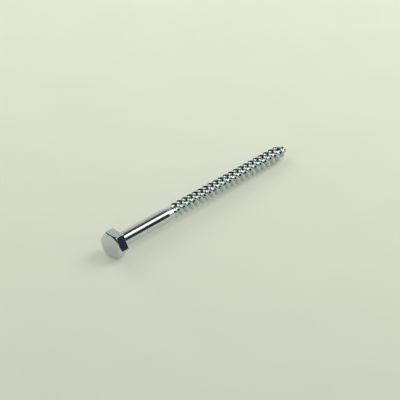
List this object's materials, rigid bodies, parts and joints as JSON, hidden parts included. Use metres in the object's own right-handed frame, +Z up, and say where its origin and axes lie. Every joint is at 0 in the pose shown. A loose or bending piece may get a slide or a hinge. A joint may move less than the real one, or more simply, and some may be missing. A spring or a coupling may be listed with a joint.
{
  "type": "lag screw",
  "caption": "Hex-head lag screw with a plain shank, a coarse wood thread and a threaded point, lying at rest.",
  "frame": {"origin": "on the screw's axis, in the plane of the face under the head", "axes": "+Z is up from the ground the screw lies on, +X runs from the head to the tip, level with the ground; the screw's own axis dips from +X to the tip by 1.4 degrees, because the head is larger than the thread"},
  "size_m": [0.1568, 0.019, 0.0165],
  "materials": {
    "zinc_plated_steel": "bright zinc plating, smooth, with a faint blue-green cast"
  },
  "bodies": {
    "root": {"lag_screw": "zinc_plated_steel"}
  },
  "joints": []
}
